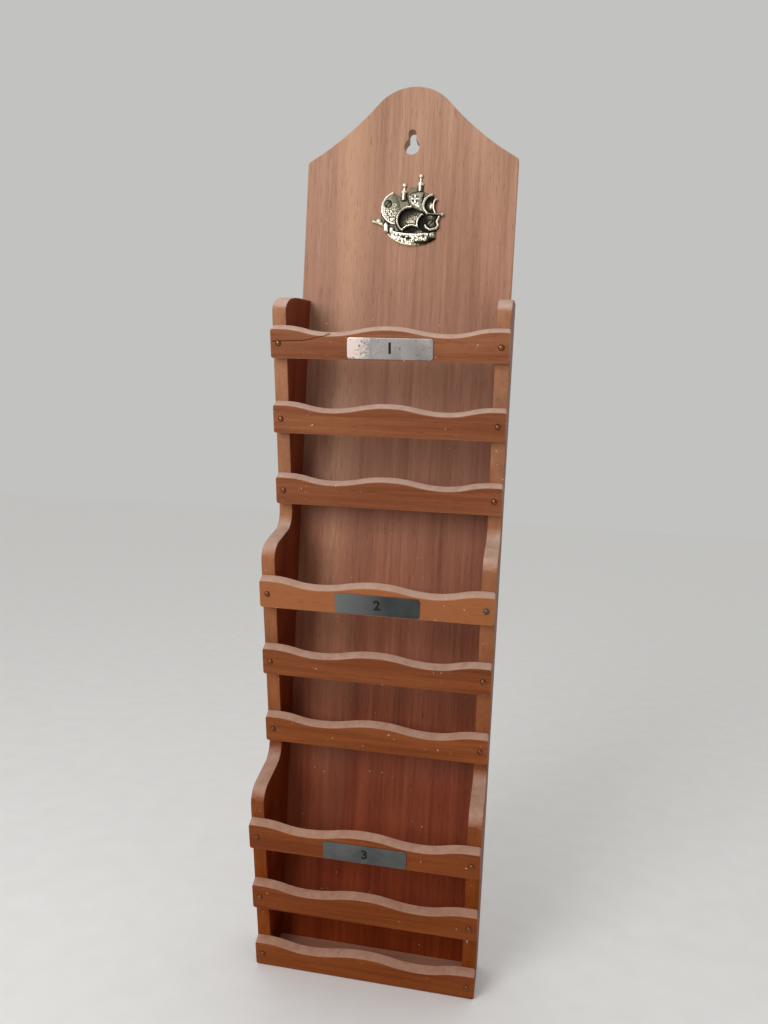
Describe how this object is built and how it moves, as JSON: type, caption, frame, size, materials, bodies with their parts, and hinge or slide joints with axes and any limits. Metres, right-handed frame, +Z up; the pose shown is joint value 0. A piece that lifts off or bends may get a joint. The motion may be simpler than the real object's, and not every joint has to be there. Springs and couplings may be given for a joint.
{
  "type": "three_pocket_slatted_letter_rack",
  "caption": "Tall wooden wall letter rack: bell-crowned back board with keyhole, sawtooth side panels, leaning slatted pockets, brass ship emblem",
  "frame": {"origin": "middle of the keyhole's round part, on the back face that lies against the wall", "axes": "+X to the right seen from the front, +Y back into the wall, +Z up; the pockets face -Y"},
  "size_m": [0.16, 0.0708, 0.644],
  "materials": {
    "board_wood": "red-brown satin varnish, vertical grain",
    "panel_wood": "red-brown satin varnish, vertical grain, worn edges",
    "slat_wood": "red-brown satin varnish, horizontal grain, worn edges",
    "floor_wood": "red-brown satin varnish",
    "plate_metal": "thin rolled sheet, dulled and rubbed",
    "emblem_brass": "cast, dark patina in the hollows, bright worn highs",
    "pin_brass": "domed head, tarnished to a copper tone",
    "nail_steel": "plain, dulled"
  },
  "bodies": {
    "root": {"back_board": "board_wood", "left_side_panel": "panel_wood", "right_side_panel": "panel_wood", "upper_pocket_bottom_slat": "slat_wood", "upper_pocket_middle_slat": "slat_wood", "upper_pocket_top_slat": "slat_wood", "middle_pocket_bottom_slat": "slat_wood", "middle_pocket_middle_slat": "slat_wood", "middle_pocket_top_slat": "slat_wood", "lower_pocket_bottom_slat": "slat_wood", "lower_pocket_middle_slat": "slat_wood", "lower_pocket_top_slat": "slat_wood", "upper_pocket_floor": "floor_wood", "middle_pocket_floor": "floor_wood", "lower_pocket_floor": "floor_wood", "upper_label_plate": "plate_metal", "middle_label_plate": "plate_metal", "lower_label_plate": "plate_metal", "ship_emblem": "emblem_brass", "slat_pins": "pin_brass", "replacement_pin": "nail_steel", "back_nails": "nail_steel", "emblem_screws": "emblem_brass"}
  },
  "joints": []
}
